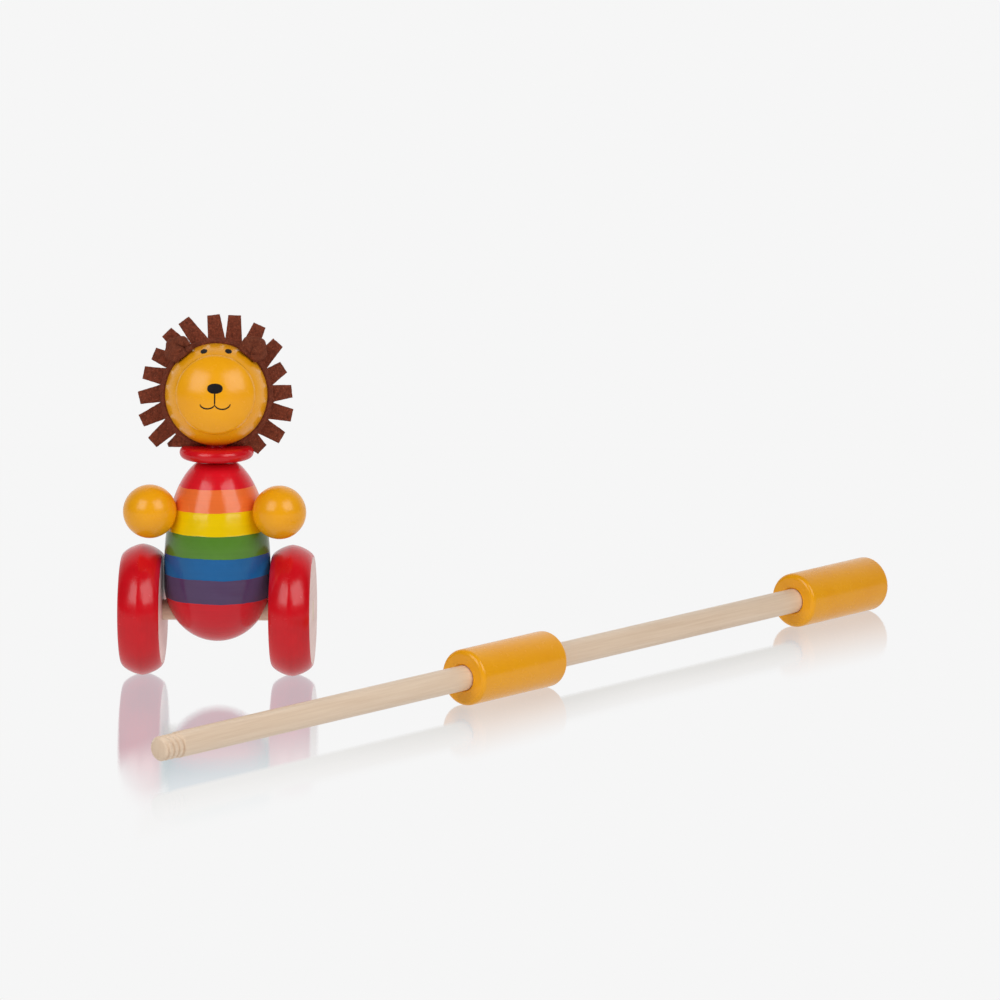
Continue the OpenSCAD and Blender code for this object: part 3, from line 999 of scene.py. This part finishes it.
def make_rear_rod():
    """The rear dowel, from inside the middle grip into the end grip."""
    end = end_grip_at + end_grip_depth - meet_gap
    mesh = turned("rear_dowel", rod_outline(stick_r, rod_meet_at + meet_gap, end, 0.3 * MM))
    stands_for = ["rear_rod"]
    piece("rear_dowel", mesh, stick_frame, "push_stick", stands_for, [wood_dowel])


def make_grip(node, start, closed):
    """A turned sleeve with rounded edges and a small countersink round the dowel."""
    edge, bore, sink = 2.4 * MM, stick_r + 0.1 * MM, 0.7 * MM
    outline = [(bore, start + sink), (bore + sink, start)]
    outline += arc(grip_r - edge, start + edge, edge, -90, 0, 14)
    outline += arc(grip_r - edge, start + grip_len - edge, edge, 0, 90, 14)
    if closed:
        outline += [(0, start + grip_len)]
        outline = [(0, start + end_grip_depth), (bore, start + end_grip_depth)] + outline
    else:
        outline += [(bore + sink, start + grip_len), (bore, start + grip_len - sink), outline[0]]
    name = node + "_sleeve"
    mesh = turned(name, outline, sharp=38)
    piece(name, mesh, stick_frame, "push_stick", [node], [paint_yellow])


# ---------------------------------------- floor, light and camera

floor_half = 14.0
# How bright the floor and the backdrop look, and how brightly the floor lights the toy
floor_glow = 0.922
floor_lights = 0.82
# How much of the light the floor mirrors, and a little more of the red than of the blue
mirror_share = 0.5
mirror_tint = {"Red": 1.2, "Green": 1.0, "Blue": 0.93}
# How bright the backdrop looks in the floor
mirror_glow = 1.0
# The floor's fine waviness, as the largest slope, smears what it mirrors.
waviness = 0.012
grains_per_metre = 1e5
# The mirroring comes in behind a slanting line, over a span, and it is gone further back.
fade_slope = 1.1
fade_start = -0.2
fade_span = 0.3
# Each step: from x, to x, how much further back the line lies, how much wider the span is
fade_steps = (
    (-0.145, -0.165, 0.15, -0.2),
    (-0.14, 0.02, 0.024, -0.14),
    (0.0, 0.07, 0.031, 0.01),
)
fade_out_from, fade_out_to = 0.35, 0.7


def make_floor():
    """A pale studio floor: it glows evenly, and mirrors what stands near, smeared and fading."""
    mesh = bpy.data.meshes.new("studio_floor")
    signs = ((-1, -1), (1, -1), (1, 1), (-1, 1))
    corners = [(floor_half * x, floor_half * y, 0) for x, y in signs]
    mesh.from_pydata(corners, [], [(0, 1, 2, 3)])
    floor = new_object("studio_floor", mesh)
    material = bpy.data.materials.new("pale_floor")
    material.use_nodes = True
    tree = material.node_tree
    tree.nodes.remove(tree.nodes["Principled BSDF"])
    point = add(tree, "SeparateXYZ", {"Vector": place(tree)})
    # The mirrored strip follows the lion and the stick, which lies across the floor.
    ahead = reckon(tree, "MULTIPLY_ADD", point.outputs["X"], -fade_slope, point.outputs["Y"])
    start, span = fade_start, fade_span
    for low, high, back, wider in fade_steps:
        step = spread(tree, point.outputs["X"], low, high)
        start = reckon(tree, "MULTIPLY_ADD", step, back, start)
        span = reckon(tree, "MULTIPLY_ADD", step, wider, span)
    near = reckon(tree, "DIVIDE", reckon(tree, "SUBTRACT", ahead, start), span)
    near = add(tree, "MapRange", {"Value": near}, interpolation_type="SMOOTHSTEP").outputs["Result"]
    far = spread(tree, point.outputs["Y"], fade_out_from, fade_out_to, 1.0, 0.0)
    # Only the camera sees the mirror. The toy is lit by an even and less bright glow.
    seen = add(tree, "LightPath").outputs["Is Camera Ray"]
    mirror_seen = reckon(tree, "MULTIPLY", seen, mirror_share)
    share = reckon(tree, "MULTIPLY", reckon(tree, "MULTIPLY", near, far), mirror_seen)
    # What it mirrors of the backdrop is taken off its glow, so that it looks even.
    tint, rest = add(tree, "CombineColor"), add(tree, "CombineColor")
    for channel, strong in mirror_tint.items():
        part = reckon(tree, "MULTIPLY", share, strong)
        left = reckon(tree, "MULTIPLY_ADD", part, -mirror_glow, floor_glow)
        tree.links.new(part, tint.inputs[channel])
        tree.links.new(left, rest.inputs[channel])
    strength = spread(tree, seen, 0, 1, floor_lights, 1.0)
    glow = add(tree, "Emission", {"Color": rest.outputs["Color"], "Strength": strength})
    grains = add(tree, "TexWhiteNoise", {"Vector": place(tree, (grains_per_metre,) * 3)})
    widest, lowest = (2 * waviness, 2 * waviness, 0), (-waviness, -waviness, 1)
    inputs = {0: grains.outputs["Color"], 1: widest, 2: lowest}
    slope = add(tree, "VectorMath", inputs, operation="MULTIPLY_ADD")
    upright = add(tree, "VectorMath", {0: slope.outputs["Vector"]}, operation="NORMALIZE")
    normal, colour = upright.outputs["Vector"], tint.outputs["Color"]
    mirror = add(tree, "BsdfAnisotropic", {"Color": colour, "Roughness": 0.0, "Normal": normal})
    both = add(tree, "AddShader", {0: glow.outputs["Emission"], 1: mirror.outputs["BSDF"]})
    tree.links.new(both.outputs["Shader"], tree.nodes["Material Output"].inputs["Surface"])
    mesh.materials.append(material)


# The glow grows from the room's to the sweep's between these Y values of its direction.
room_glow, sweep_glow = 0.06, 1.0
sweep_from, sweep_to = 0.18, 0.78


def make_world():
    """A bright sweep behind the object, and a dim room in front of it."""
    world = bpy.data.worlds.new("studio")
    bpy.context.scene.world = world
    world.use_nodes = True
    tree = world.node_tree
    direction = add(tree, "SeparateXYZ", {"Vector": add(tree, "TexCoord").outputs["Generated"]})
    backward = direction.outputs["Y"]
    behind = spread(tree, backward, sweep_from, sweep_to, room_glow, sweep_glow)
    path = add(tree, "LightPath")
    # The floor's sharp mirror sees an even backdrop, and so does the camera.
    mirrored = spread(tree, path.outputs["Is Singular Ray"], 0, 1, behind, mirror_glow)
    background = tree.nodes["Background"]
    background.inputs["Color"].default_value = (1, 1, 1, 1)
    strength = spread(tree, path.outputs["Is Camera Ray"], 0, 1, mirrored, floor_glow)
    tree.links.new(strength, background.inputs["Strength"])


def softbox(name, lit, azimuth, elevation, wide, tall, power):
    """A window-shaped light, aimed at the lion; azimuth 0 is on the camera's side."""
    distance, aim_height = 1.6, 0.08
    light = bpy.data.lights.new(name, "AREA")
    light.shape = "RECTANGLE"
    light.size = wide
    light.size_y = tall
    light.energy = power
    a, e = math.radians(azimuth), math.radians(elevation)
    toward = Vector((math.sin(a) * math.cos(e), -math.cos(a) * math.cos(e), math.sin(e)))
    made = new_object(name, light)
    made.location = lion_axis + Vector((0, 0, aim_height)) + toward * distance
    made.rotation_mode = "QUATERNION"
    made.rotation_quaternion = toward.to_track_quat("Z", "Y")
    made.light_linking.receiver_collection = lit


def make_lamps():
    """Two windows in front, which pass over the floor so that it doesn't mirror them."""
    lit = bpy.data.collections.new("lit_by_the_lamps")
    lit.objects.link(bpy.data.objects["studio_floor"])
    lit.collection_objects[0].light_linking.link_state = "EXCLUDE"
    softbox("window_left", lit, azimuth=-36, elevation=34, wide=0.95, tall=1.05, power=12)
    softbox("window_right", lit, azimuth=48, elevation=34, wide=1.05, tall=1.05, power=13)


def make_camera():
    """A long lens in front of the toy, a little above it and to its right."""
    camera = bpy.data.cameras.new("camera")
    camera.sensor_width = 36
    camera.lens = 266.9
    camera.clip_start = 0.1
    camera.clip_end = 60
    made = new_object("camera", camera)
    made.location = lion_axis + Vector((0.303, -3.534, 0.717))
    pitch, heading = math.radians(-10.09), math.radians(2.68)
    made.rotation_euler = (math.radians(90) + pitch, 0, heading)
    bpy.context.scene.camera = made


make_camera()
make_floor()
make_world()
make_lamps()
bpy.context.scene.view_settings.view_transform = "Standard"

make_torso()
make_collar()
make_head()
make_muzzle()
make_face()
make_mane()
for side in ("left", "right"):
    make_hand(side)
    make_ear(side)
    make_wheel(side)
make_axle()
make_front_rod()
make_rear_rod()
make_grip("middle_grip", middle_grip_at, False)
make_grip("end_grip", end_grip_at, True)
# The hidden dowels keep their CAD shape. The neck's is painted red like the collar: painted shade and a painted
# reflection of the collar where it shows between collar and head.
dowel_looks = {
    "neck_dowel": paint_red,
    "muzzle_dowel": wood_dowel,
    "hand_dowel_left": wood_dowel,
    "hand_dowel_right": wood_dowel,
}
for node, look in dowel_looks.items():
    looks = frame["nodes"][node].data.materials
    looks.clear()
    looks.append(look)
